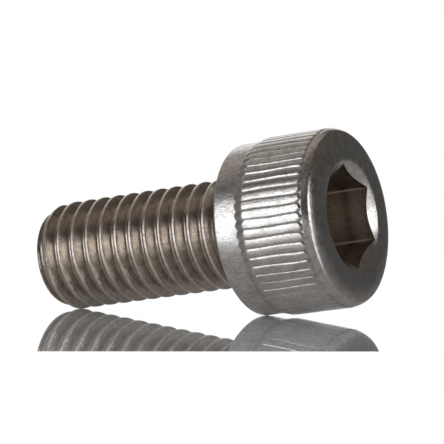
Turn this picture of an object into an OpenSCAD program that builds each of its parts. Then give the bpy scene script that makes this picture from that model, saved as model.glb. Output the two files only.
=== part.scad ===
// Hex socket cap screw with a knurled cylindrical head and a full-length
// rolled thread. One forged piece, lying as it comes to rest on a table:
// the lower edge of the collar and the first thread crest touch the floor.
// Lengths are in millimetres and angles in degrees.

/* [Thread] */
// Major diameter of the rolled thread, over the crests
thread_diameter = 9.9; // [8.0:0.05:12.0]
// Axial distance from one crest to the next, right-hand thread
thread_pitch = 1.5; // [1.0:0.05:2.0]
// Length from the tip to the bearing face
shank_length = 20.3; // [14:0.1:60]
// Crest land as a share of the pitch
crest_share = 0.125; // [0.08:0.005:0.2]
// Flank height as a share of the pitch
flank_share = 0.6; // [0.4:0.01:0.65]
// Distance from the tip to the first crest on the floor side
first_crest = 1.62; // [1.0:0.02:2.0]

/* [Tip] */
// Diameter of the flat end of the tip
tip_diameter = 8.4; // [6.0:0.1:8.6]
// Axial length of the pointed chamfer
tip_chamfer = 1.4; // [0.5:0.05:1.6]
// Shortfall in radius of the first crests, left by rolling
lead_drop = 0.09; // [0.0:0.01:0.2]
// Distance from the tip over which the crests reach their full height
lead_length = 4.0; // [2.0:0.1:6.0]

/* [Run-out] */
// Distance below the head where the thread groove starts to fill up
runout_start = 2.2; // [1.5:0.1:4.0]
// Distance below the head where the groove has reached the neck
runout_end = 1.0; // [0.8:0.05:1.4]
// Diameter of the plain neck between the thread and the head
neck_diameter = 9.4; // [8.8:0.05:9.6]
// Length of the plain neck
neck_length = 0.35; // [0.3:0.05:0.6]
// Outer diameter of the fillet where it meets the bearing face
fillet_diameter = 11.0; // [10.4:0.1:11.2]
// Height of the fillet under the head
fillet_height = 0.3; // [0.2:0.05:0.5]

/* [Head] */
// Height of the head above the bearing face
head_height = 9.7; // [7.0:0.1:14.0]
// Diameter of the plain collar next to the bearing face
collar_diameter = 15.2; // [14.0:0.05:15.5]
// Height of the plain collar
collar_height = 2.15; // [1.0:0.05:3.0]
// Height of the slope from the collar up to the knurled band
collar_slope = 0.85; // [0.3:0.05:1.5]
// Rounding of the collar's lower edge
collar_rounding = 0.25; // [0.1:0.05:0.5]
// Diameter of the smooth rim above the knurled band
rim_diameter = 15.65; // [14.6:0.05:16.6]
// Height of the smooth rim, from the end of the knurl to the face
rim_height = 0.9; // [0.5:0.05:1.6]
// Radius of the large rounding between the rim and the flat face
rim_rounding = 1.25; // [0.6:0.05:1.8]

/* [Knurl] */
// Number of straight knurl grooves around the head
knurl_count = 58; // [30:1:72]
// Diameter over the knurl ridges
knurl_diameter = 15.75; // [15.75:0.05:16.2]
// Depth of a knurl groove below the ridges
knurl_depth = 0.24; // [0.1:0.02:0.3]
// Width of a knurl groove at the top of the ridges
knurl_groove = 0.5; // [0.2:0.02:0.6]

/* [Socket] */
// Width across the flats of the hexagon
socket_width = 8; // [5.0:0.1:8.2]
// Depth of the flats below the face
socket_depth = 5; // [3.0:0.1:6.0]
// Turn of the hexagon about the screw's own axis
socket_turn = 4.3; // [0:0.1:30]
// Diameter of the countersink at the face
countersink_diameter = 9.75; // [9.5:0.05:10.5]
// Included angle of the countersink
countersink_angle = 112; // [90:1:130]
// Depth of the cone below the end of the flats
socket_cone = 1.1; // [0.5:0.05:1.6]

/* [Hidden] */
$fn = 96;
// Columns around the thread; the floor side lies midway between two of them
around = 64;
// How far the shank reaches into the head
root_in_head = 0.8;
// Least height of a row above the end of the thread
snap = 0.1;

thread_radius = thread_diameter / 2;
flank_height = flank_share * thread_pitch;
root_radius = thread_radius - flank_height;
tip_radius = tip_diameter / 2;
neck_radius = neck_diameter / 2;
collar_radius = collar_diameter / 2;
rim_radius = rim_diameter / 2;
knurl_radius = knurl_diameter / 2;
countersink_radius = countersink_diameter / 2;
thread_end = shank_length - neck_length;
knurl_start = shank_length + collar_height + collar_slope;
knurl_end = shank_length + head_height - rim_height;
face_height = shank_length + head_height;
// Bevel between the knurled band and the rim
rim_step = min(abs(knurl_radius - rim_radius), rim_height / 3);

// Places of the rows in one pitch, as shares of it from the crest's middle
flank_run = flank_height * tan(30) / thread_pitch;
crest_half = crest_share / 2;
root_start = crest_half + flank_run;
row_places = [-crest_half, crest_half, root_start, 0.5, 1 - root_start];
row_radii = [thread_radius, thread_radius, root_radius + 0.06, root_radius, root_radius + 0.06];
rows_in_pitch = len(row_places);
first_turn = -ceil(first_crest / thread_pitch) - 2;
turns = ceil(thread_end / thread_pitch) + 5;
row_count = turns * rows_in_pitch;

// Contact of the first crest with the floor, and the tilt it gives the axis
contact_height = max(first_crest - crest_half * thread_pitch,
    min(tip_chamfer, first_crest + crest_half * thread_pitch));
contact_radius = crest_limit(contact_height) * cos(180 / around);
contact_run = shank_length + collar_rounding - contact_height;
contact_rise = collar_radius - collar_rounding - contact_radius;
contact_span = sqrt(contact_run * contact_run + contact_rise * contact_rise);
tilt = atan2(contact_rise, contact_run) + asin(collar_rounding / contact_span);
axis_height = contact_radius * cos(tilt) - contact_height * sin(tilt);
rim_reach = (face_height - rim_rounding) * cos(tilt)
    + (rim_radius - rim_rounding) * sin(tilt) + rim_rounding;
tip_reach = -tip_radius * sin(tilt);
middle = (rim_reach + tip_reach) / 2;

// Radius that the chamfer and the rolling lead leave to a crest at height z
function chamfer_limit(z) =
    tip_radius + (thread_radius - lead_drop - tip_radius) * min(1, z / tip_chamfer);
function lead_limit(z) =
    thread_radius - lead_drop * max(0, 1 - (z - tip_chamfer) / (lead_length - tip_chamfer));
function crest_limit(z) = min(chamfer_limit(z), lead_limit(z));

// Radius to which the groove has filled up at height z below the head
function runout_share(z) =
    min(1, max(0, (z - shank_length + runout_start) / (runout_start - runout_end)));
function groove_floor(z) = root_radius + (neck_radius - root_radius) * runout_share(z);

// Height and radius of one point of the thread: row j, column i
function row_height(j, i) =
    first_crest + thread_pitch * (first_turn + floor(j / rows_in_pitch)
    + row_places[j % rows_in_pitch] + (i + 0.5) / around);
function row_radius(j, z) =
    min(max(row_radii[j % rows_in_pitch], groove_floor(z)), max(tip_radius - 0.1, crest_limit(z)));
function on_circle(radius, i, z) =
    [radius * cos(360 * (i + 0.5) / around), radius * sin(360 * (i + 0.5) / around), z];
function row_point(j, i) = on_circle(row_radius(j, row_height(j, i)), i, row_height(j, i));

// Number of a point; rows past either end share the points of the end ring
function point_number(j, i) =
    row_height(j, i) < snap ? row_count * around + i
    : row_height(j, i) > thread_end - snap ? (row_count + 1) * around + i
    : j * around + i;
function wrapped(j, i) = i < around ? point_number(j, i) : point_number(j + rows_in_pitch, 0);
function three(a, b, c) = a == b || b == c || a == c ? [] : [[a, b, c]];
function cell(a, b, c, d) = concat(three(a, d, c), three(a, c, b));

// Head profile: half section of the blank, turned about the axis
module head_section() {
    difference() {
        union() {
            square_band(0, collar_radius, shank_length, knurl_start);
            polygon([
                [0, shank_length + collar_height],
                [collar_radius, shank_length + collar_height],
                [knurl_radius, knurl_start],
                [knurl_radius, knurl_end],
                [rim_radius, knurl_end + rim_step],
                [rim_radius, face_height],
                [0, face_height]
            ]);
        }
        rounded_corner(rim_radius, face_height, rim_rounding, 1);
        rounded_corner(collar_radius, shank_length, collar_rounding, -1);
    }
}

module square_band(inner, outer, low, high) {
    translate([inner, low])
        square([outer - inner, high - low]);
}

// Waste outside a rounded outer corner: side 1 for an upper one, -1 for a lower
module rounded_corner(radius, height, rounding, side) {
    difference() {
        translate([radius - rounding, side > 0 ? height - rounding : height - 1])
            square([rounding + 1, rounding + 1]);
        translate([radius - rounding, height - side * rounding])
            circle(r = rounding);
    }
}

// Fillet between the neck and the bearing face
module fillet() {
    foot = fillet_diameter / 2 - neck_radius + 0.15;
    translate([0, 0, shank_length - fillet_height])
        cylinder(h = fillet_height, r1 = neck_radius - 0.15, r2 = neck_radius - 0.15 + foot);
    translate([0, 0, shank_length])
        cylinder(h = 0.5, r = fillet_diameter / 2);
}

module thread_shank() {
    rings = [
        for (ring = [[tip_radius, 0], [neck_radius, thread_end], [neck_radius, shank_length + root_in_head]])
            for (i = [0 : around - 1])
                on_circle(ring[0], i, ring[1])
    ];
    body = [
        for (j = [0 : row_count - 1])
            for (i = [0 : around - 1])
                row_point(j, i)
    ];
    wall = [
        for (i = [0 : around - 1])
            for (j = [0 : row_count - 2 - rows_in_pitch])
                for (t = cell(wrapped(j, i), wrapped(j, i + 1), wrapped(j + 1, i + 1), wrapped(j + 1, i)))
                    t
    ];
    top = (row_count + 1) * around;
    neck = [
        for (i = [0 : around - 1])
            let (k = (i + 1) % around)
                for (t = cell(top + i, top + k, top + around + k, top + around + i))
                    t
    ];
    tip_face = [[for (i = [0 : around - 1]) row_count * around + i]];
    end_face = [[for (i = [around - 1 : -1 : 0]) top + around + i]];
    polyhedron(points = concat(body, rings), faces = concat(wall, neck, tip_face, end_face));
}

module knurl_groove() {
    translate([0, 0, shank_length + collar_height - 0.1])
        linear_extrude(height = knurl_end - shank_length - collar_height + 0.1)
            polygon([
                [knurl_radius - knurl_depth, 0],
                [knurl_radius + 0.1, (0.1 + knurl_depth) / knurl_depth * knurl_groove / 2],
                [knurl_radius + 0.1, -(0.1 + knurl_depth) / knurl_depth * knurl_groove / 2]
            ]);
}

module hex_socket() {
    flat_end = face_height - socket_depth;
    rotate([0, 0, socket_turn])
        translate([0, 0, flat_end])
            cylinder(h = socket_depth + 1, d = socket_width / cos(30), $fn = 6);
    translate([0, 0, flat_end - socket_cone])
        cylinder(h = socket_cone + 0.01, r1 = 0, r2 = socket_width / 2 - 0.05);
    sink = countersink_radius / tan(countersink_angle / 2);
    over = 0.5;
    translate([0, 0, face_height - sink])
        cylinder(h = sink + over, r1 = 0, r2 = countersink_radius * (sink + over) / sink);
}

module head() {
    difference() {
        rotate([0, 0, 180])
            rotate_extrude()
                head_section();
        for (i = [0 : knurl_count - 1])
            rotate([0, 0, i * 360 / knurl_count])
                knurl_groove();
        hex_socket();
    }
}

module cap_screw() {
    color("#a39e95")
        translate([-middle, 0, axis_height])
            rotate([0, 90 - tilt, 0])
                union() {
                    head();
                    fillet();
                    thread_shank();
                }
}

cap_screw();
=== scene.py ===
# %% [markdown]
# A hex socket cap screw, lying where it comes to rest on a glossy white plate.
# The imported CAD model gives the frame. Every point here is worked out in the
# screw's own axis, as a height along it, a radius and an angle round it, and is
# then laid down by the tilt that the CAD model has. Lengths are in millimetres
# until a point is laid in the world, which is in metres.

# %% Load the frame
import math

import bpy
import numpy as np
from mathutils import Matrix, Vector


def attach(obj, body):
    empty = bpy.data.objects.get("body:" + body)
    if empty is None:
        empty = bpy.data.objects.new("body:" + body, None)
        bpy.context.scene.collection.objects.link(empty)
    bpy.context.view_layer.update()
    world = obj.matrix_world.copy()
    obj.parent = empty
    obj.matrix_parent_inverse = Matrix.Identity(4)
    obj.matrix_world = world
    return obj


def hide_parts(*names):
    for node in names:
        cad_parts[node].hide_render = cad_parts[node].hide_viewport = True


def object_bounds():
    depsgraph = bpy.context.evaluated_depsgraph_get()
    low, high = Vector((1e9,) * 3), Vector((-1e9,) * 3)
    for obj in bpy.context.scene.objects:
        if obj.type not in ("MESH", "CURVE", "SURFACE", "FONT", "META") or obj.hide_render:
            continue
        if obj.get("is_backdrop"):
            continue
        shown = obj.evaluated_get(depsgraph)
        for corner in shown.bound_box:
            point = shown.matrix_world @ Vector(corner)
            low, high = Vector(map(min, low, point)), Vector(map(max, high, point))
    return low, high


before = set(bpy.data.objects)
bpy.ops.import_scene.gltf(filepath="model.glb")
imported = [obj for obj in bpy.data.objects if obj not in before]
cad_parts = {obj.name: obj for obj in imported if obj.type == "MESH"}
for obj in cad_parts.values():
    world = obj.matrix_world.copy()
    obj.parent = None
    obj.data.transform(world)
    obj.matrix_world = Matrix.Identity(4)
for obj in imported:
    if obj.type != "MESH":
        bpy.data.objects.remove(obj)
cad_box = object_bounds()
print("CAD box in mm:", [[round(1000 * float(v), 2) for v in corner] for corner in cad_box])

# %% [markdown]
# The sizes are those of the CAD model, so the finer skin made here fits its
# box. They are radii and heights, because every shape below is a distance from
# the axis at a height above the tip.

# %% Sizes of the screw
THREAD_R, ROOT_R, PITCH, SHANK = 4.95, 4.05, 1.5, 20.3
FIRST_CREST, CREST_HALF = 1.62, 0.0625
TIP_R, TIP_CHAMFER, LEAD_DROP, LEAD_LENGTH = 4.2, 1.4, 0.09, 4.0
NECK_R, NECK_LENGTH, FILLET_R, FILLET_H = 4.7, 0.35, 5.5, 0.3
RUNOUT_START, RUNOUT_END = 2.2, 1.0
HEAD_H, COLLAR_R, COLLAR_H, COLLAR_SLOPE, COLLAR_EDGE = 9.7, 7.6, 2.15, 0.85, 0.25
RIM_R, RIM_ROUND, KNURL_R, KNURLS = 7.825, 1.25, 7.875, 58
SOCKET_HALF, SOCKET_DEPTH, SOCKET_CONE, SOCKET_TURN = 4.0, 5.0, 1.1, math.radians(4.3)
SINK_R, SINK_HALF_ANGLE = 4.875, math.radians(56)
NECK, FACE = SHANK - NECK_LENGTH, SHANK + HEAD_H
print("thread %.1f x %.1f mm, whole screw %.1f mm long" % (2 * THREAD_R, PITCH, FACE))

# %% [markdown]
# A screw with a wide head can't lie level. It touches the floor at two places,
# the collar's rounded edge and the first thread crest, and the line that touches
# both from below gives the tilt. Solving it from the same sizes means that
# nothing has to be fitted by eye. The CAD model's thread has 64 columns and
# rests on the flat between two of them, so that flat's radius is used.

# %% Resting place
CAD_COLUMNS = 64


def crest_limit(height):
    """Radius that the pointed tip leaves to a crest: a straight chamfer from the
    tip, then a slow straight rise to the full thread radius."""
    chamfer = TIP_R + (THREAD_R - LEAD_DROP - TIP_R) * np.minimum(1, height / TIP_CHAMFER)
    lead = (height - TIP_CHAMFER) / (LEAD_LENGTH - TIP_CHAMFER)
    return np.minimum(chamfer, THREAD_R - LEAD_DROP * np.clip(1 - lead, 0, 1))


touch_h = FIRST_CREST - CREST_HALF * PITCH
touch_r = float(crest_limit(touch_h)) * math.cos(math.pi / CAD_COLUMNS)
run = SHANK + COLLAR_EDGE - touch_h
rise = COLLAR_R - COLLAR_EDGE - touch_r
TILT = math.atan2(rise, run) + math.asin(COLLAR_EDGE / math.hypot(run, rise))
COS, SIN = math.cos(TILT), math.sin(TILT)
AXIS_HEIGHT = touch_r * COS - touch_h * SIN
rim_reach = (FACE - RIM_ROUND) * COS + (RIM_R - RIM_ROUND) * SIN + RIM_ROUND
MIDDLE = (rim_reach - TIP_R * SIN) / 2
print("tilt %.3f degrees, axis %.3f mm above the floor at the tip" % (math.degrees(TILT), AXIS_HEIGHT))

# %% [markdown]
# The camera comes early, because it decides what has to be fine. It stands low,
# a little above the plate, and looks at the screw from the front right through
# a long lens. A camera can be placed by hand, but this one was found by matching
# crest lines, socket corners and the outline. So it is written as an orbit: a
# direction, a distance, an aim point with a shift across and up the picture,
# and a slight roll.

# %% Camera
azimuth, elevation, roll = map(math.radians, (29.195, 0.173, 1.011))
EYE_DISTANCE, FOCAL_PIXELS, PICTURE_PIXELS, SENSOR = 271.279, 3029.85, 444, 36
AIM_FROM_TIP, AIM_HEIGHT = 11 + 0.3 * COS, 5
AIM_SHIFT_RIGHT, AIM_SHIFT_UP = 4.714, 3.117
toward = np.array([math.sin(azimuth) * math.cos(elevation),
                   -math.cos(azimuth) * math.cos(elevation), math.sin(elevation)])
level_right = np.cross(-toward, [0, 0, 1])
level_right /= np.linalg.norm(level_right)
level_up = np.cross(level_right, -toward)
aim = np.array([AIM_FROM_TIP - MIDDLE, 0, AIM_HEIGHT])
aim = aim + AIM_SHIFT_RIGHT * level_right + AIM_SHIFT_UP * level_up
eye = aim + EYE_DISTANCE * toward
camera_data = bpy.data.cameras.new("studio_camera")
camera_data.sensor_width = SENSOR
camera_data.lens = FOCAL_PIXELS * SENSOR / PICTURE_PIXELS
camera_data.clip_start = 0.01
camera = bpy.data.objects.new("studio_camera", camera_data)
bpy.context.scene.collection.objects.link(camera)
pose = np.eye(4)
pose[:3, 0] = math.cos(roll) * level_right + math.sin(roll) * level_up
pose[:3, 1] = -math.sin(roll) * level_right + math.cos(roll) * level_up
pose[:3, 2] = toward
pose[:3, 3] = eye / 1000
camera.matrix_world = Matrix(pose.tolist())
bpy.context.scene.camera = camera
print("camera %.1f mm above the plate, lens %.0f mm" % (eye[2], camera_data.lens))

# %% [markdown]
# The thread is rolled, so its crest and root are rounded and its start is
# swept: the crest climbs the tip's chamfer and only later reaches full height.
# A modifier could screw a profile round the axis, but the start and the run-out
# change the profile along the way. So the radius of every point is worked out
# from its place in the pitch and its height.

# %% Thread profile
CREST_FLAT, CREST_SOFT, ROOT_SOFT = 0.068, 0.002, 0.05
FLANK_LEAN, SHOULDER_SLOPE = math.radians(30), 0.9
LEAST_TIP_R = TIP_R - 0.1


def soft_least(a, b, width):
    """Smaller of two arrays, with the corner between them rounded: a, less the
    width times the logarithm of 1 plus e to the power of their gap in widths."""
    return a - width * np.logaddexp(0, (a - b) / width)


def thread_radius(place, height):
    """Radius of the thread: the lesser of the crest and the 60 degree flank, no
    less than the groove's floor, which climbs at the run-out, and no more than
    the tip's limit and the shoulder allow."""
    away_from_crest = np.abs(place - np.round(place)) * PITCH
    flank = THREAD_R - (away_from_crest - CREST_FLAT) / math.tan(FLANK_LEAN)
    ridge = soft_least(np.full_like(flank, THREAD_R), flank, CREST_SOFT)
    climb = np.clip((height - SHANK + RUNOUT_START) / (RUNOUT_START - RUNOUT_END), 0, 1)
    floor = ROOT_R + (NECK_R - ROOT_R) * climb
    grooved = -soft_least(-ridge, -floor, ROOT_SOFT)
    shoulder = NECK_R + SHOULDER_SLOPE * np.maximum(NECK - height, 0)
    limit = np.maximum(LEAST_TIP_R, crest_limit(height))
    return np.minimum(np.minimum(grooved, THREAD_R), np.minimum(limit, shoulder))


one_pitch = thread_radius(np.linspace(0, 1, 101), np.full(101, SHANK / 2))
print("thread profile from %.3f to %.3f mm" % (one_pitch.min(), one_pitch.max()))

# %% [markdown]
# The thread's surface is a grid. Its rows follow the helix, one row for each
# place in the pitch, close together on the crest and wide apart on the flanks,
# and its columns stand round the axis. One column further round is one share of
# a pitch further up. The grid starts some turns before the tip and ends some
# turns past the neck, and the next step cuts both ends off.

# %% Thread grid
AROUND = 116
FIRST_TURN, TURNS = -4, int(NECK / PITCH) + 8
DOWN_PLACES = [0.0453, 0.062, 0.09, 0.13, 0.2, 0.27, 0.33, 0.38, 0.43]
PLACES = np.array([-DOWN_PLACES[1], -DOWN_PLACES[0], 0, *DOWN_PLACES, 0.5,
                   *(1 - place for place in DOWN_PLACES[:1:-1])])
rows = TURNS * len(PLACES)
row, column = np.meshgrid(np.arange(rows), np.arange(AROUND + 1), indexing="ij")
thread_place = FIRST_TURN + row // len(PLACES) + PLACES[row % len(PLACES)]
thread_heights = FIRST_CREST + PITCH * (thread_place + column / AROUND)
thread_radii = thread_radius(thread_place, thread_heights)
print("thread rows %d, radius %.3f to %.3f mm" % (rows, thread_radii.min(), thread_radii.max()))

# %% [markdown]
# Rows that pass the tip or the neck share the points of one end ring, and
# triangles that lose a corner that way are dropped later. The last column is
# the first one again, one turn further on. The tip's edge gets a few rings of
# its own, along a quarter circle, so that it shines as a rounded edge.

# %% Tip and ends of the thread
SNAP, TIP_EDGE = 0.09, 0.12
FLAT_RINGS = (2.2, TIP_R - TIP_EDGE - 0.25)
quarter = np.radians(np.linspace(0, 90, 5))
tip_rings = [(0.0, r) for r in FLAT_RINGS]
tip_rings += [(TIP_EDGE - TIP_EDGE * math.cos(t), TIP_R - TIP_EDGE + TIP_EDGE * math.sin(t)) for t in quarter]
low_ring, high_ring = rows * AROUND, (rows + 1) * AROUND
index = np.where(column == AROUND, (row + len(PLACES)) * AROUND, row * AROUND + column)
index = np.where(thread_heights < TIP_EDGE + SNAP, low_ring + column % AROUND, index)
index = np.where(thread_heights > NECK - SNAP, high_ring + column % AROUND, index)
print("tip rings", len(tip_rings))

# %% [markdown]
# The head was forged as a plain drum with a stepped foot, and then straight
# ridges were rolled into it. Seen close, they are broad, slightly crowned lands
# with narrow grooves between them. An image of lines would look flat at this
# distance, so the grooves are real. The grid can show them if its columns are a
# whole number per ridge, twelve here. Rolling is never quite even: some grooves
# are deeper, lands lean a little, and one spot round the head was pressed less.

# %% Knurl pattern round the head
COLUMNS = KNURLS * 12
LIGHT_PRESS_AT, LIGHT_PRESS_WIDTH = math.radians(267), 0.085
angles = np.arange(COLUMNS) * 2 * math.pi / COLUMNS
knurl_place = angles * KNURLS / (2 * math.pi)
knurl_number = np.floor(knurl_place + 1e-6)
side = (knurl_place % 1) * 2 - 1
to_groove = np.abs(side)
on_land = 1 - to_groove
uneven = 0.5 + 0.5 * np.sin(3 * angles + 1.0) * np.sin(11 * angles)
light_press = np.exp(-(np.sin((angles - LIGHT_PRESS_AT) / 2) / LIGHT_PRESS_WIDTH) ** 2)
leaning = np.sin(knurl_number * 2.1) * np.sin(knurl_number * 0.7 + 1) * on_land * 2
print("knurls %d, columns %d, unevenness %.2f to %.2f" % (KNURLS, COLUMNS, uneven.min(), uneven.max()))

# %% [markdown]
# Along its height a land starts on the slope above the collar and ends in a
# rounded finger short of the rim. Both ends come from the same pattern: beside
# a groove the slope starts later and the land ends sooner, so no outline of the
# finger has to be drawn.

# %% Knurled band
LAND_DROP, CROWN, LEAN = 0.010, 0.026, 0.012
SWELL, SWELL_ALONG, SWELL_ROUND = 0.007, 1.9, 2.4
GROOVE, GROOVE_MORE, GROOVE_POWER, GROOVE_LESS = 0.040, 0.030, 9, 0.6
FINGER, FINGER_UNEVEN = 0.20, 0.06
KNURL_END, KNURL_FADE, END_DROP = 8.60, 0.10, 0.13
FOOT_DROP, FOOT_RISE = 0.03, 0.01


def smooth_step(low, high, value):
    """0 below low, 1 above high, and between them 3 t squared less 2 t cubed."""
    t = np.clip((value - low) / (high - low), 0, 1)
    return t * t * (3 - 2 * t)


def ridged(height):
    """Radius of the ridged band at a height above the bearing face, whichever
    is least of the slope up from the collar and the lands. A land is the knurl's
    radius less a crown that grows with the square of the way to the groove, less
    the groove, which grows with its ninth power, plus a swell and a lean."""
    late = FINGER * to_groove ** 2 + FINGER_UNEVEN * uneven * to_groove
    slope = COLLAR_R + (height - COLLAR_H - late) * (KNURL_R - COLLAR_R) / COLLAR_SLOPE
    deep = (GROOVE + GROOVE_MORE * uneven) * (1 - GROOVE_LESS * light_press)
    swell = SWELL * (1 + np.sin(SWELL_ALONG * height + SWELL_ROUND * knurl_number)) * on_land
    lands = KNURL_R - LAND_DROP - CROWN * to_groove ** 2 - deep * to_groove ** GROOVE_POWER
    lands = lands + swell + LEAN * leaning * side
    end = KNURL_END - late
    fade = smooth_step(end - KNURL_FADE, end + KNURL_FADE, height)
    band = lands * (1 - fade) + (KNURL_R - END_DROP) * fade
    return np.minimum(np.maximum(slope, COLLAR_R - FOOT_DROP + FOOT_RISE * height), band)


middle_ring = ridged(HEAD_H / 2)
print("ridged band from %.3f to %.3f mm at mid height" % (middle_ring.min(), middle_ring.max()))

# %% [markdown]
# The foot of the head has no pattern: a fillet from the neck, the flat bearing
# face, the collar's rounded lower edge and the plain collar. A short profile
# turned round the axis is enough for it.

# %% Foot of the head
BEARING_RING, COLLAR_DIP = 6.4, 0.004
foot = []
for part in np.linspace(0, 1, 6):
    foot.append((SHANK - FILLET_H + FILLET_H * part ** 0.6, NECK_R + (FILLET_R - NECK_R) * part ** 2))
foot.append((SHANK, BEARING_RING))
for t in np.radians(np.linspace(-90, 0, 7)):
    foot.append((SHANK + COLLAR_EDGE + COLLAR_EDGE * math.sin(t),
                 COLLAR_R - COLLAR_EDGE + COLLAR_EDGE * math.cos(t)))
foot += [(SHANK + 1.2, COLLAR_R), (SHANK + 2.0, COLLAR_R), (SHANK + 2.1, COLLAR_R - COLLAR_DIP)]
print("plain rings up to the collar:", len(foot))

# %% [markdown]
# The rim above the knurl is smooth and rolls over to the face. One circular
# rounding would shine as one band, but the real edge shows a domed side, a
# bright line at the corner and a soft way onto the face. So the curve is made
# of stretches, and in each the lean grows evenly over a chosen length.

# %% Rim
RIM_START, RIM_START_R = 8.74, RIM_R - 0.02
RIM_STRETCHES = [(17, 35, 6, 0.55), (38, 50, 4, 0.06), (52, 63, 6, 0.20)]
FACE_STRETCH = (66, 89, 9)


def rim_curve(start_height, start_radius):
    """Heights and radii of the rim: each step goes up by the cosine and inwards
    by the sine of its lean. The last stretch takes what is left up to the face."""
    leans = [np.radians(np.linspace(low, high, count)) for low, high, count, length in RIM_STRETCHES]
    steps = [np.full(count, length / count) for low, high, count, length in RIM_STRETCHES]
    climbed = sum((np.cos(lean) * step).sum() for lean, step in zip(leans, steps))
    onto_face = np.radians(np.linspace(*FACE_STRETCH))
    leans.append(onto_face)
    steps.append(np.full(len(onto_face), (HEAD_H - start_height - climbed) / np.cos(onto_face).sum()))
    lean, step = np.concatenate(leans), np.concatenate(steps)
    return start_height + np.cumsum(np.cos(lean) * step), start_radius - np.cumsum(np.sin(lean) * step)


rim_heights, rim_radii = rim_curve(RIM_START, RIM_START_R)
print("rim ends at height %.3f and radius %.3f" % (rim_heights[-1], rim_radii[-1]))

# %% [markdown]
# Foot, band and rim are stacked as rings of the same columns, from the neck to
# the face. The rings stand close where the shape turns, at the start and the end
# of the knurl, and further apart along the straight grooves.

# %% Rings of the head's outside
heights, radii = [], []


def add_ring(height, radius):
    """One more ring of the head, from one number or one number per column."""
    heights.append(np.full(COLUMNS, height))
    radii.append(np.full(COLUMNS, radius))


for h, r in foot:
    add_ring(h, r)
for h in [*np.linspace(2.2, 2.5, 4), *np.linspace(2.65, 3.1, 4), *np.linspace(3.3, 7.5, 7),
          8.0, 8.2, 8.4, 8.5, 8.58, 8.66, 8.7]:
    add_ring(SHANK + h, np.minimum(ridged(h), RIM_R if h > KNURL_END else KNURL_R))
add_ring(SHANK + RIM_START, RIM_START_R)
for h, r in zip(rim_heights, rim_radii):
    add_ring(SHANK + h, r)
outer_count = len(heights)
print("outer rings", outer_count)

# %% [markdown]
# The socket is a hexagon with a countersunk mouth. Where the cone of the
# countersink meets the six flats it leaves crescents: the cone is as wide as
# the hexagon at a depth that is least in the corners and most in the middle of
# each flat. A Boolean would cut this with ragged triangles. That depth is a
# formula of the angle, so one row of the grid follows the scalloped edge. The
# columns are turned a little, so that one falls into each corner.

# %% Socket
SOCKET_CORNER_R, MOUTH_ROUND, FLAT_END_DROP, FACE_RING = 4.575, 0.03, 0.05, 5.4
column_step = 2 * math.pi / COLUMNS
inner = angles + SOCKET_TURN - column_step * round(SOCKET_TURN / column_step)
from_corner = (inner - SOCKET_TURN) % (math.pi / 3)
hexagon = np.minimum(SOCKET_HALF / np.cos(from_corner - math.pi / 6), SOCKET_CORNER_R)
scallop = (SINK_R - hexagon) / math.tan(SINK_HALF_ANGLE)
for r in (FACE_RING, SINK_R + 0.1):
    add_ring(FACE, r)
add_ring(FACE - 0.012, SINK_R + 0.01)
for part in (0.06, 0.5, 1.0):
    add_ring(FACE - 0.02 - (scallop - 0.02) * part,
             SINK_R - MOUTH_ROUND * (1 - part) - (SINK_R - hexagon) * part)
add_ring(FACE - scallop - 0.04, hexagon)
for depth in (1.0, 1.6, 2.0, 2.3, 2.55, 2.8, 3.1, 3.6, 4.3, SOCKET_DEPTH):
    add_ring(FACE - depth, hexagon)
for part in (0, 0.4, 0.75):
    add_ring(FACE - SOCKET_DEPTH - SOCKET_CONE * part, (SOCKET_HALF - FLAT_END_DROP) * (1 - part))
heights, radii = np.array(heights), np.array(radii)
print("all head rings", len(heights), "scallops %.2f to %.2f mm deep" % (scallop.min(), scallop.max()))

# %% [markdown]
# The grooves aren't quite straight, because the rolling wheel slips a little.
# The outer columns are moved round the axis by a few thousandths of a radian,
# as a sine of height and angle, and the move fades out towards both ends.

# %% Waver of the grooves
WAVER, WAVER_ALONG, WAVER_ROUND = 0.0042, 1.1, 9
FADE_IN, FADE_OUT = (2.4, 3.6), (7.6, 8.6)
waver_in = smooth_step(SHANK + FADE_IN[0], SHANK + FADE_IN[1], heights)
waver_out = 1 - smooth_step(SHANK + FADE_OUT[0], SHANK + FADE_OUT[1], heights)
waver = WAVER * waver_in * waver_out * np.sin(WAVER_ALONG * heights + WAVER_ROUND * angles)
outside = np.arange(len(heights))[:, None] < outer_count
turned = np.where(outside, angles + waver, inner)
print("waver up to %.3f mm" % (KNURL_R * np.abs(waver).max()))

# %% [markdown]
# Now the pieces of the grid are joined into one closed skin, because the real
# screw is one piece of metal. Separate pieces pushed into each other would show
# hard lines where they meet. Points are numbered in the order in which they are
# laid, and faces name three of those numbers, anticlockwise seen from outside.

# %% Laying points and faces
parts, faces = [], []


def laid(height, radius, angle):
    """World place in metres: height along the tilted axis plus radius at an
    angle round it, where angle 0 points at the floor."""
    x = height * COS + radius * np.cos(angle) * SIN - MIDDLE
    y = radius * np.sin(angle)
    z = AXIS_HEIGHT + height * SIN - radius * np.cos(angle) * COS
    return np.stack([x, y, z], -1).reshape(-1, 3) / 1000


def lay(height, radius, angle):
    """Adds points to the skin and returns their numbers."""
    first = sum(len(part) for part in parts)
    parts.append(laid(height, radius, angle))
    return first + np.arange(len(parts[-1]))


def between(lower, upper):
    """Two triangles for each column between two rings of the same columns."""
    next_lower, next_upper = np.roll(lower, -1), np.roll(upper, -1)
    return np.concatenate([np.stack([lower, next_lower, next_upper], 1),
                           np.stack([lower, next_upper, upper], 1)])


column_angle = np.arange(AROUND) * 2 * math.pi / AROUND
lay(thread_heights[:, :AROUND], thread_radii[:, :AROUND], column_angle[None])
lay(TIP_EDGE, TIP_R, column_angle)
lay(NECK, NECK_R, column_angle)
print("points of the thread and its end rings:", sum(len(part) for part in parts))

# %% [markdown]
# Each cell of the thread's grid gives two triangles. Those with a corner on rows
# past the ends, and those that lost a corner to a shared point, are left out.
# The tip is closed by its rings and a fan of triangles round a middle point.

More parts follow.
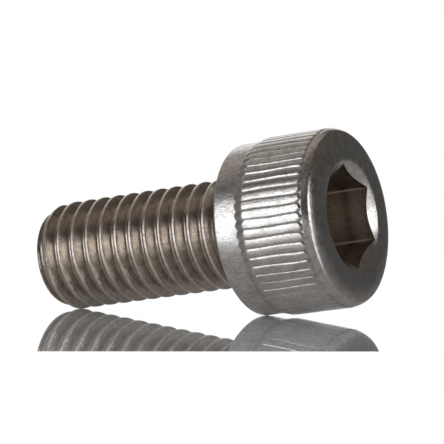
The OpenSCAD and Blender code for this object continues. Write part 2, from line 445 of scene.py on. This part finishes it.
# %% Faces of the thread and the tip
corner, right_of, above = index[:-1, :-1], index[:-1, 1:], index[1:, :-1]
opposite = index[1:, 1:]
cells = np.concatenate([np.stack([corner, right_of, opposite], -1).reshape(-1, 3),
                        np.stack([corner, opposite, above], -1).reshape(-1, 3)])
cells = cells[(cells < (rows + 2) * AROUND).all(1)]
first, second, third = cells.T
faces.append(cells[(first != second) & (second != third) & (first != third)])
rings_of_tip = [lay(h, r, column_angle) for h, r in tip_rings[:-1]]
tip_middle = lay(0.0, 0.0, np.zeros(1))
rings_of_tip.append(low_ring + np.arange(AROUND))
for lower, upper in zip(rings_of_tip[:-1], rings_of_tip[1:]):
    faces.append(between(lower, upper))
inmost = rings_of_tip[0]
faces.append(np.stack([np.full(AROUND, tip_middle), np.roll(inmost, -1), inmost], 1))
print("triangles of thread and tip:", sum(len(part) for part in faces))

# %% [markdown]
# The head has six times as many columns as the thread. At the neck each thread
# column fans out into six head columns, so no gap is left, and the change hides
# in the shadow under the head. A fan round one point closes the socket's cone.

# %% Faces of the head
head_rings = lay(heights, radii, turned).reshape(heights.shape)
for lower, upper in zip(head_rings[:-1], head_rings[1:]):
    faces.append(between(lower, upper))
coarse, fine = high_ring + np.arange(AROUND), head_rings[0]
per_column = COLUMNS // AROUND
k = np.arange(COLUMNS)
owner = (k // per_column + (k % per_column >= per_column // 2)) % AROUND
faces.append(np.stack([coarse[owner], np.roll(fine, -1), fine], 1))
faces.append(np.stack([coarse, np.roll(coarse, -1), fine[per_column // 2::per_column]], 1))
socket_middle = lay(FACE - SOCKET_DEPTH - SOCKET_CONE, 0.0, np.zeros(1))
lowest = head_rings[-1]
faces.append(np.stack([lowest, np.roll(lowest, -1), np.full(COLUMNS, socket_middle)], 1))
points, faces = np.concatenate(parts), np.concatenate(faces)
print("points %d, triangles %d" % (len(points), len(faces)))

# %% [markdown]
# A skin is closed and faces outwards when two numbers say so. The volume that
# its triangles enclose must come out positive, and every edge must be shared by
# two triangles that run along it in opposite ways. Points that no face uses,
# from rows past the ends, are dropped first.

# %% Check of the skin
needed = np.unique(faces)
renumber = np.full(len(points), -1)
renumber[needed] = np.arange(len(needed))
points, faces = points[needed], renumber[faces]
points = np.clip(points, np.array(cad_box[0], float), np.array(cad_box[1], float))
corners = points[faces]
volume = np.einsum("ij,ij->i", corners[:, 0], np.cross(corners[:, 1], corners[:, 2])).sum() / 6
edges = np.concatenate([faces[:, [0, 1]], faces[:, [1, 2]], faces[:, [2, 0]]])
forward = np.unique(edges[:, 0].astype(np.int64) * len(points) + edges[:, 1])
backward = np.unique(edges[:, 1].astype(np.int64) * len(points) + edges[:, 0])
loose = len(np.setxor1d(forward, backward))
print("volume %.1f mm3, open edges %d, doubled edges %d" % (volume * 1e9, loose, len(edges) - len(forward)))

# %% [markdown]
# The arrays go into one mesh. Smooth shading hides the triangles, and edges that
# turn by more than 32 degrees stay sharp, such as the hexagon's corners.

# %% Mesh of the screw
SHARP_FROM = math.radians(32)
screw_mesh = bpy.data.meshes.new("cap_screw_skin")
screw_mesh.from_pydata(points.tolist(), [], faces.tolist())
screw_mesh.update()
screw = bpy.data.objects.new("cap_screw_skin", screw_mesh)
bpy.context.scene.collection.objects.link(screw)
screw_mesh.polygons.foreach_set("use_smooth", np.ones(len(faces), dtype=bool))
screw_mesh.set_sharp_from_angle(angle=SHARP_FROM)
print("mesh has %d points and %d triangles" % (len(points), len(faces)))
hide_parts("cap_screw")
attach(screw, "root")

# %% [markdown]
# The finish and the colour differ along the screw. The rolled thread is warmer, and its roots and the knurl's
# grooves get painted shade. The socket is rougher from punching and takes a browner, darker tone, with a
# painted dark reflection band on its wall, and the hexagon's corners get a brighter tone that is partly wear
# and partly a painted highlight. Painting by hand would need a map of the surface. Instead each point keeps
# five numbers from 0 to 1, worked out from its place in the screw's own axis, and the material reads them.

# %% Where each finish, painted shade and painted highlight lies
WARM_TO, GREY_FROM = SHANK - 0.5, SHANK + 0.02
BRIGHT_TO, DULL_FROM, PAINTED_BAND_DEPTH, PAINTED_BAND_WIDTH = 0.55, 0.75, 2.55, 0.5
from_tip = points * 1000 + [MIDDLE, 0, -AXIS_HEIGHT]
along = from_tip[:, 0] * COS + from_tip[:, 2] * SIN
sideways = from_tip[:, 0] * SIN - from_tip[:, 2] * COS
away = np.hypot(sideways, from_tip[:, 1])
threaded = 1 - smooth_step(WARM_TO, GREY_FROM, along)
in_hole = (away < SOCKET_HALF / math.cos(math.pi / 6) + 0.1) * (along > SHANK + 2)
socketed = in_hole * smooth_step(BRIGHT_TO, DULL_FROM, FACE - along)
# A painted dark reflection band round the socket wall, about 2.5 mm below the face.
painted_band = np.exp(-((FACE - along - PAINTED_BAND_DEPTH) / PAINTED_BAND_WIDTH) ** 2) * socketed
print("points on the thread %d, in the socket %d" % ((threaded > 0.5).sum(), (socketed > 0.5).sum()))

# %% [markdown]
# The grooves of thread and knurl get painted shade, so their number grows with the depth below the crest or
# land. The hexagon's corners are thin lines, where the way round to the nearest corner is short, and they get
# a brighter tone that is partly wear and partly a painted highlight.

# %% Grooves and corners
KNURL_SHADE, KNURL_SHADE_FROM, KNURL_SHADE_OVER = 0.5, 0.045, 0.05
CORNER_WIDTH = 0.07
grooved = np.clip((THREAD_R - away) / (THREAD_R - ROOT_R), 0, 1) * threaded
on_band = smooth_step(SHANK + COLLAR_H - 0.1, SHANK + COLLAR_H + 0.3, along)
on_band = on_band * (along < SHANK + 8.7) * (away > 7)
knurl_depth = np.clip((KNURL_R - KNURL_SHADE_FROM - away) / KNURL_SHADE_OVER, 0, 1)
grooved = grooved + KNURL_SHADE * knurl_depth * on_band
corner_turn = (np.arctan2(from_tip[:, 1], sideways) - SOCKET_TURN) % (math.pi / 3)
beside_corner = np.minimum(corner_turn, math.pi / 3 - corner_turn) * away
cornered = np.exp(-(beside_corner / CORNER_WIDTH) ** 2) * socketed
finishes_and_painted_light = {"threaded": threaded, "groove": grooved, "socketed": socketed, "painted_band": painted_band,
            "corners": cornered}
for name, values in finishes_and_painted_light.items():
    layer = screw_mesh.attributes.new(name, "FLOAT", "POINT")
    layer.data.foreach_set("value", values.astype(np.float32))
    print("%s: mean %.3f, most %.2f" % (name, values.mean(), values.max()))

# %% [markdown]
# The steel is a metal whose colour, roughness and bump all come from noise. An
# image would need unwrapping and would repeat, and noise works on any shape. Its
# nodes are many, so four short helpers make them. A wire is written as a node
# and one of its outputs. A Mapping node turns Object coordinates so that X runs
# along the axis, and scales them to millimetres.

# %% Helpers for the steel
steel = bpy.data.materials.new("stainless_steel")
steel.use_nodes = True
nodes, links = steel.node_tree.nodes, steel.node_tree.links
nodes.clear()


def node(kind, **settings):
    """A shader node of that kind, with its settings."""
    made = nodes.new(kind)
    for key, value in settings.items():
        setattr(made, key, value)
    return made


def join(wire, taker, into):
    """Joins a wire to the input of another node."""
    links.new(wire[0].outputs[wire[1]], taker.inputs[into])


def maths(operation, a, b, clamp=False):
    """A Math node; a and b are numbers or wires."""
    made = node("ShaderNodeMath", operation=operation, use_clamp=clamp)
    for place, value in enumerate((a, b)):
        if isinstance(value, tuple):
            join(value, made, place)
        else:
            made.inputs[place].default_value = value
    return (made, 0)


def span(wire, low, high, to_low, to_high):
    """Maps low..high evenly to to_low..to_high and clamps."""
    made = node("ShaderNodeMapRange", clamp=True)
    join(wire, made, 0)
    for place, number in enumerate((low, high, to_low, to_high), 1):
        made.inputs[place].default_value = number
    return (made, 0)


own_axis = node("ShaderNodeMapping", vector_type="POINT")
own_axis.inputs["Rotation"].default_value = (0, TILT, 0)
own_axis.inputs["Scale"].default_value = (1000, 1000, 1000)
join((node("ShaderNodeTexCoord"), "Object"), own_axis, "Vector")
print("steel begun with %d nodes" % len(nodes))

# %% [markdown]
# Six noises serve the whole screw. Squeezed along the axis, noise becomes fine
# rolling lines round it. Stretched along the axis, it becomes the forged drum's
# streaks. Noise that is even, or nearly so, gives clouds, patches, pits and
# specks, by its scale.

# %% Noises of the steel


def noise(squeeze, scale, detail, rough=0.55):
    """Noise in the screw's axes, with more of it along an axis that is squeezed."""
    squeezed = node("ShaderNodeMapping", vector_type="POINT")
    squeezed.inputs["Scale"].default_value = squeeze
    join((own_axis, "Vector"), squeezed, "Vector")
    made = node("ShaderNodeTexNoise", noise_dimensions="3D")
    made.inputs["Scale"].default_value = scale
    made.inputs["Detail"].default_value = detail
    made.inputs["Roughness"].default_value = rough
    join((squeezed, "Vector"), made, "Vector")
    return (made, "Fac")


def kept_mask(name):
    """The number that the points keep under that name."""
    return (node("ShaderNodeAttribute", attribute_name=name), "Fac")


on_thread, in_groove, in_socket = kept_mask("threaded"), kept_mask("groove"), kept_mask("socketed")
in_painted_band, in_corner = kept_mask("painted_band"), kept_mask("corners")
clouds = noise((1, 1, 1), 0.9, 4)
streaks = noise((0.25, 3.0, 3.0), 3.2, 4, 0.65)
rings = noise((9.0, 0.5, 0.5), 2.2, 4, 0.7)
pits = noise((0.6, 1.3, 1.3), 6.0, 4, 0.65)
specks = noise((1, 1, 1), 14.0, 2, 0.6)
patches = noise((0.5, 1, 1), 1.3, 5, 0.7)
print("six noises, %d nodes" % len(nodes))

# %% [markdown]
# A metal's base colour is the tint of what it mirrors. The tints are laid one over the other: the head's
# grey, the thread's warm tone, the socket's browner, darker tone, then the painted shade in the grooves, a
# painted dark reflection band in the socket, pits and patches, which multiply what is under them, and last
# the corners' brighter tone, partly wear and partly a painted highlight. Each share comes from a number that
# the points keep, a noise or both.

# %% Steel colour
HEAD_TONE, THREAD_TONE, SOCKET_TONE = (0.635, 0.626, 0.618), (0.80, 0.735, 0.66), (0.57, 0.515, 0.46)
# Of the tones below, the first is painted shade in the grooves of thread and knurl.
# The second tone below is a painted dark reflection band on the socket wall.
ROOT_SHADE_TONE, PAINTED_BAND_TONE, PIT_TONE = (0.55, 0.515, 0.495), (0.48, 0.50, 0.48), (0.66, 0.67, 0.70)
# The corner tone is partly wear and partly a painted highlight along the hexagon's corners.
PATCH_TONE, CORNER_WEAR_AND_HIGHLIGHT_TONE = (0.78, 0.77, 0.75), (1.0, 0.88, 0.70)
MIX_SHARE, MIX_A, MIX_B, MIX_COLOUR = 0, 6, 7, 2


def tinted(under, tone, share, blend="MIX"):
    """The colour under, which is three numbers or a wire, mixed with a tone or
    multiplied by it: a share of 0 leaves it and 1 takes the tone in full."""
    made = node("ShaderNodeMix", data_type="RGBA", blend_type=blend)
    if isinstance(under[0], float):
        made.inputs[MIX_A].default_value = (*under, 1)
    else:
        join(under, made, MIX_A)
    made.inputs[MIX_B].default_value = (*tone, 1)
    join(share, made, MIX_SHARE)
    return (made, MIX_COLOUR)


warm_share = maths("MULTIPLY", span(clouds, 0.35, 0.65, 0.6, 1.0), on_thread)
# Painted shade in the grooves of thread and knurl, stronger where the groove is deeper.
root_shade_share = maths("MULTIPLY", in_groove, span(rings, 0.3, 0.7, 0.7, 1.0))
# A painted dark reflection band on the socket wall, broken up by the streaks.
painted_band_share = maths("MULTIPLY", in_painted_band, span(streaks, 0.3, 0.7, 0.8, 1.0))
pit_share = maths("MULTIPLY", span(pits, 0.50, 0.62, 0, 0.9), maths("SUBTRACT", 1.0, in_socket))
patch_share = span(patches, 0.42, 0.62, 0.0, 1.0)
colour = tinted(HEAD_TONE, THREAD_TONE, warm_share)
colour = tinted(colour, SOCKET_TONE, in_socket)
colour = tinted(colour, ROOT_SHADE_TONE, root_shade_share, "MULTIPLY")
colour = tinted(colour, PAINTED_BAND_TONE, painted_band_share, "MULTIPLY")
colour = tinted(colour, PIT_TONE, pit_share, "MULTIPLY")
colour = tinted(colour, PATCH_TONE, patch_share, "MULTIPLY")
# The corners' brighter tone, partly wear and partly a painted highlight.
colour = tinted(colour, CORNER_WEAR_AND_HIGHLIGHT_TONE, in_corner)
print("colour made, %d nodes" % len(nodes))

# %% [markdown]
# Roughness decides how sharp the mirrored boxes are: low on the bright steel,
# higher in the socket and on its worn corners, and uneven everywhere. The bump
# lets light catch on pits and rolling lines that are too fine for the mesh, and
# the crests also get nicks, which sparkle.

# %% Steel roughness and bump
SOCKET_ROUGHER, CORNER_ROUGHER = 0.12, 0.4
STREAK_BUMP, PIT_BUMP, SPECK_BUMP = 0.8, 1.2, 0.5
NICK_SPECKS, NICK_PITS, CREST_FALL = 2.0, 4.0, 3.0
BUMP_STRENGTH, BUMP_METRES = 0.40, 0.00003
grain = maths("ADD", span(streaks, 0.3, 0.7, 0.0, 0.06), span(specks, 0.4, 0.7, 0.0, 0.05))
rough = maths("ADD", span(clouds, 0.3, 0.7, 0.10, 0.16), grain)
rough = maths("ADD", rough, maths("MULTIPLY", in_socket, SOCKET_ROUGHER), True)
rough = maths("ADD", rough, maths("MULTIPLY", in_corner, CORNER_ROUGHER), True)
head_bump = maths("ADD", maths("MULTIPLY", streaks, STREAK_BUMP), maths("MULTIPLY", pits, PIT_BUMP))
head_bump = maths("ADD", head_bump, maths("MULTIPLY", specks, SPECK_BUMP))
on_crest = maths("SUBTRACT", 1.0, maths("MULTIPLY", in_groove, CREST_FALL), True)
nicks = maths("ADD", maths("MULTIPLY", specks, NICK_SPECKS), maths("MULTIPLY", pits, NICK_PITS))
thread_bump = maths("ADD", rings, maths("MULTIPLY", nicks, on_crest))
bump_height = node("ShaderNodeMix", data_type="FLOAT")
for place, wire in ((0, on_thread), (2, head_bump), (3, thread_bump)):
    join(wire, bump_height, place)
bump = node("ShaderNodeBump")
bump.inputs["Strength"].default_value = BUMP_STRENGTH
bump.inputs["Distance"].default_value = BUMP_METRES
join((bump_height, 0), bump, "Height")
shader = node("ShaderNodeBsdfPrincipled")
shader.inputs["Metallic"].default_value = 1.0
join(colour, shader, "Base Color")
join(rough, shader, "Roughness")
join((bump, "Normal"), shader, "Normal")
join((shader, "BSDF"), node("ShaderNodeOutputMaterial"), "Surface")
screw_mesh.materials.append(steel)
print("steel has %d nodes" % len(nodes))

# %% [markdown]
# The screw lies on a glossy white plate, whose front edge is just in view, and
# in front of it the table is matt white. Both are flat slabs. A picture of a
# screw on white keeps its ground white with light, but more light would bleach
# the steel. So the camera and mirrored rays see the table as plain white, and
# all other rays see a matt slab.

# %% Slabs and plain white


def slab(name, low, high, level, thick):
    """A flat slab from a corner to a corner, its top at that level."""
    (x0, y0), (x1, y1) = low, high
    top = np.array([[x0, y0, level], [x1, y0, level], [x1, y1, level], [x0, y1, level]])
    under = top - [0, 0, thick]
    mesh = bpy.data.meshes.new(name)
    sides = [(0, 1, 2, 3), (7, 6, 5, 4), (0, 4, 5, 1), (1, 5, 6, 2), (2, 6, 7, 3), (3, 7, 4, 0)]
    mesh.from_pydata((np.concatenate([top, under]) / 1000).tolist(), [], sides)
    mesh.update()
    made = bpy.data.objects.new(name, mesh)
    bpy.context.scene.collection.objects.link(made)
    made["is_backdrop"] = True
    return made


def white_to_eye(owner, shader_node, out_node, glow_kind):
    """Shows plain white at strength 1 to camera, glossy and transmission rays,
    and leaves the shader to all other rays."""
    tree = owner.node_tree
    path = tree.nodes.new("ShaderNodeLightPath")
    seen = path.outputs["Is Camera Ray"]
    for ray in ("Is Glossy Ray", "Is Transmission Ray"):
        either = tree.nodes.new("ShaderNodeMath")
        either.operation = "MAXIMUM"
        tree.links.new(seen, either.inputs[0])
        tree.links.new(path.outputs[ray], either.inputs[1])
        seen = either.outputs[0]
    glow = tree.nodes.new(glow_kind)
    glow.inputs["Color"].default_value = (1, 1, 1, 1)
    glow.inputs["Strength"].default_value = 1.0
    blend = tree.nodes.new("ShaderNodeMixShader")
    for place, giver in enumerate((seen, shader_node.outputs[0], glow.outputs[0])):
        tree.links.new(giver, blend.inputs[place])
    tree.links.new(blend.outputs[0], out_node.inputs["Surface"])


matt = bpy.data.materials.new("matt_table")
matt.use_nodes = True
matt_body = matt.node_tree.nodes["Principled BSDF"]
matt_body.inputs["Base Color"].default_value = (0.9, 0.9, 0.9, 1)
matt_body.inputs["Roughness"].default_value = 0.7
white_to_eye(matt, matt_body, matt.node_tree.nodes["Material Output"], "ShaderNodeEmission")
print("matt white has %d nodes" % len(matt.node_tree.nodes))

# %% [markdown]
# Seen this low, a glossy plate mirrors nearly everything, as Fresnel's law says,
# and from above it is plain white. A Principled shader has that law built in, but
# here it is written out, so that both ends can be set: Layer Weight tells how low
# the eye is, and blends a white body into a mirror with a cool haze. The body
# glows a little for camera and glossy rays, so that it stays white from above.

# %% Gloss of the plate
BODY_TONE, GLOW_TONE, BODY_ROUGH = (0.93, 0.92, 0.91, 1), (1.0, 0.98, 0.97, 1), 0.5
GLOW_TO_CAMERA, GLOW_TO_GLOSS = 0.45, 0.10
MIRROR_TONE, HAZE_TONE, HAZE_ROUGH = (0.955, 0.975, 1.0, 1), (0.135, 0.15, 0.165, 1), 0.6
FACING_LOW, FACING_HIGH, MIRROR_LEAST = 0.55, 0.94, 0.05
gloss = bpy.data.materials.new("glossy_plate")
gloss.use_nodes = True
gloss_nodes, gloss_links = gloss.node_tree.nodes, gloss.node_tree.links
body = gloss_nodes["Principled BSDF"]
body.inputs["Base Color"].default_value = BODY_TONE
body.inputs["Emission Color"].default_value = GLOW_TONE
body.inputs["Roughness"].default_value = BODY_ROUGH
seen_by = gloss_nodes.new("ShaderNodeLightPath")
camera_glow, glow = gloss_nodes.new("ShaderNodeMath"), gloss_nodes.new("ShaderNodeMath")
camera_glow.operation, glow.operation = "MULTIPLY", "MULTIPLY_ADD"
camera_glow.inputs[1].default_value = GLOW_TO_CAMERA
glow.inputs[1].default_value = GLOW_TO_GLOSS
gloss_links.new(seen_by.outputs["Is Camera Ray"], camera_glow.inputs[0])
gloss_links.new(seen_by.outputs["Is Glossy Ray"], glow.inputs[0])
gloss_links.new(camera_glow.outputs[0], glow.inputs[2])
gloss_links.new(glow.outputs[0], body.inputs["Emission Strength"])
mirror, haze = gloss_nodes.new("ShaderNodeBsdfGlossy"), gloss_nodes.new("ShaderNodeBsdfGlossy")
for glossy, tone, roughness in ((mirror, MIRROR_TONE, 0.0), (haze, HAZE_TONE, HAZE_ROUGH)):
    glossy.inputs["Color"].default_value = tone
    glossy.inputs["Roughness"].default_value = roughness
sheen = gloss_nodes.new("ShaderNodeAddShader")
gloss_links.new(mirror.outputs[0], sheen.inputs[0])
gloss_links.new(haze.outputs[0], sheen.inputs[1])
facing = gloss_nodes.new("ShaderNodeLayerWeight")
facing.inputs["Blend"].default_value = 0.5
ramp = gloss_nodes.new("ShaderNodeMapRange")
for place, number in enumerate((FACING_LOW, FACING_HIGH, MIRROR_LEAST, 1.0), 1):
    ramp.inputs[place].default_value = number
gloss_links.new(facing.outputs["Facing"], ramp.inputs[0])
coat = gloss_nodes.new("ShaderNodeMixShader")
for place, giver in enumerate((ramp, body, sheen)):
    gloss_links.new(giver.outputs[0], coat.inputs[place])
gloss_links.new(coat.outputs[0], gloss_nodes["Material Output"].inputs["Surface"])
print("glossy plate has %d nodes" % len(gloss_nodes))

# %% [markdown]
# The plate is turned so that its front edge runs level through the picture, in
# front of the screw. Only its top is glossy, and its sides are matt.

# %% Plate and table
PLATE_THICK, PLATE_SKEW = 1.5, math.radians(20.5)
plate = slab("plate", (-260, -70), (260, 320), 0.0, PLATE_THICK)
plate.data.transform(Matrix.Rotation(azimuth, 4, "Z") @ Matrix.Rotation(PLATE_SKEW, 4, "Z"))
table = slab("table", (-900, -900), (900, 900), -PLATE_THICK, 5)
plate.data.materials.append(gloss)
plate.data.materials.append(matt)
plate.data.polygons.foreach_set("material_index", [0, 1, 1, 1, 1, 1])
table.data.materials.append(matt)
print("plate turned by %.1f degrees" % math.degrees(azimuth + PLATE_SKEW))

# %% [markdown]
# Steel looks like what stands around it, so the lights are shapes to be
# mirrored. A large soft box at the front left draws the bright band along the
# thread and the knurl, and a narrow one at the right lights a crescent of the
# countersink. Their brightness is given as a mirror would show it, and a lamp's
# power follows from it and from its area.

# %% Soft boxes
LIT_POINT = np.array([4.0, 0, 7.0])
NEARLY_UPRIGHT = 0.99


def facing_axes(direction):
    """Unit vector to a light or card, with a level one across it and a third
    that stands on both."""
    way = np.array(direction, float)
    way /= np.linalg.norm(way)
    level = np.cross([0, 0, 1], way) if abs(way[2]) < NEARLY_UPRIGHT else np.array([1.0, 0, 0])
    level /= np.linalg.norm(level)
    return way, level, np.cross(way, level)


def soft_box(name, direction, away_mm, wide, high, radiance, tone=(1, 1, 1)):
    """An area light aimed at the screw. Its power is pi times its area times
    the brightness that a mirror would see."""
    data = bpy.data.lights.new(name, "AREA")
    data.shape = "RECTANGLE"
    data.size, data.size_y = wide / 1000, high / 1000
    data.energy = math.pi * radiance * data.size * data.size_y
    data.color = tone
    lamp = bpy.data.objects.new(name, data)
    bpy.context.scene.collection.objects.link(lamp)
    way, level, up = facing_axes(direction)
    place = np.eye(4)
    place[:3, 0], place[:3, 1], place[:3, 2] = level, up, way
    place[:3, 3] = (LIT_POINT + way * away_mm) / 1000
    lamp.matrix_world = Matrix(place.tolist())
    print("%s: radiance %.1f, %.3f W" % (name, radiance, data.energy))


soft_box("key_box", (-0.50, -0.87, 0.19), 300, 130, 150, 1.6)
soft_box("key_edge", (-0.50, -0.87, 0.18), 310, 220, 270, 0.5, (1.0, 0.98, 0.97))
soft_box("right_box", (0.98, -0.08, 0.27), 250, 78, 110, 3.5, (1.0, 0.985, 0.96))
soft_box("right_glow", (0.98, -0.10, 0.20), 260, 90, 200, 0.2, (1.0, 0.97, 0.93))
soft_box("top_box", (-0.45, 0.35, 1.0), 450, 620, 560, 0.24, (1.0, 0.94, 0.88))

# %% [markdown]
# Between the boxes the steel mirrors grey and brownish cards, which give the
# dark upper thread, the face and the socket their tones. The camera looks past
# them, since they are hidden from its rays alone.

# %% Cards


def card(name, direction, away_mm, wide, high, tone):
    """A flat card facing the screw, out of the camera's sight. It glows with
    its tone, so the lamps don't change it."""
    way, level, up = facing_axes(direction)
    centre = LIT_POINT + way * away_mm
    card_corners = [centre + across * level * wide / 2 + upward * up * high / 2
                    for across, upward in ((-1, -1), (-1, 1), (1, 1), (1, -1))]
    mesh = bpy.data.meshes.new(name)
    mesh.from_pydata((np.array(card_corners) / 1000).tolist(), [], [(0, 1, 2, 3)])
    mesh.update()
    made = bpy.data.objects.new(name, mesh)
    bpy.context.scene.collection.objects.link(made)
    paint = bpy.data.materials.new(name)
    paint.use_nodes = True
    card_shader = paint.node_tree.nodes["Principled BSDF"]
    card_shader.inputs["Base Color"].default_value = (0.02, 0.02, 0.02, 1)
    card_shader.inputs["Roughness"].default_value = 0.9
    card_shader.inputs["Emission Color"].default_value = (*tone, 1)
    card_shader.inputs["Emission Strength"].default_value = 1.0
    mesh.materials.append(paint)
    made.visible_camera = False
    made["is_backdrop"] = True
    print("%s: %d x %d mm, tone %.3f" % (name, wide, high, tone[0]))


card("card_right_back", (0.40, 0.91, 0.10), 420, 680, 260, (0.085, 0.081, 0.077))
card("card_back_high", (0.30, 0.80, 0.62), 430, 620, 300, (0.10, 0.085, 0.07))
card("card_left", (-1.0, 0.1, 0.25), 460, 620, 560, (0.27, 0.25, 0.235))
card("card_right", (1.0, -0.05, 0.3), 470, 700, 640, (0.050, 0.046, 0.044))
card("card_front_right", (0.75, -0.9, 0.2), 520, 700, 640, (0.08, 0.075, 0.072))
card("card_front_left", (-0.6, -0.85, 0.4), 560, 900, 860, (0.15, 0.147, 0.147))
card("card_top", (-0.1, 0.0, 1.0), 560, 1100, 1100, (0.16, 0.135, 0.11))

# %% [markdown]
# The world is the room behind the cards. It lights the screw weakly with a pale
# blue grey, and the camera and mirrored rays see it as plain white. The
# Standard view shows colours as they are written.

# %% Room
ROOM_TONE, ROOM_STRENGTH = (0.9, 0.92, 0.95, 1), 0.35
world = bpy.data.worlds.new("studio_room")
bpy.context.scene.world = world
world.use_nodes = True
room = world.node_tree.nodes["Background"]
room.inputs["Color"].default_value = ROOM_TONE
room.inputs["Strength"].default_value = ROOM_STRENGTH
white_to_eye(world, room, world.node_tree.nodes["World Output"], "ShaderNodeBackground")
bpy.context.scene.view_settings.view_transform = "Standard"
print("room light set at strength", ROOM_STRENGTH)

# %% [markdown]
# Last, the sizes of both boxes are printed. The skin has to stay inside the CAD model's box, since Blender
# only dresses the part.

# %% Sizes of both boxes
visual_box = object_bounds()
boxes = {"cad": [[float(v) for v in corner] for corner in cad_box],
         "visual": [[float(v) for v in corner] for corner in visual_box]}
for name, (low, high) in boxes.items():
    print(name, [round(1000 * (b - a), 3) for a, b in zip(low, high)])
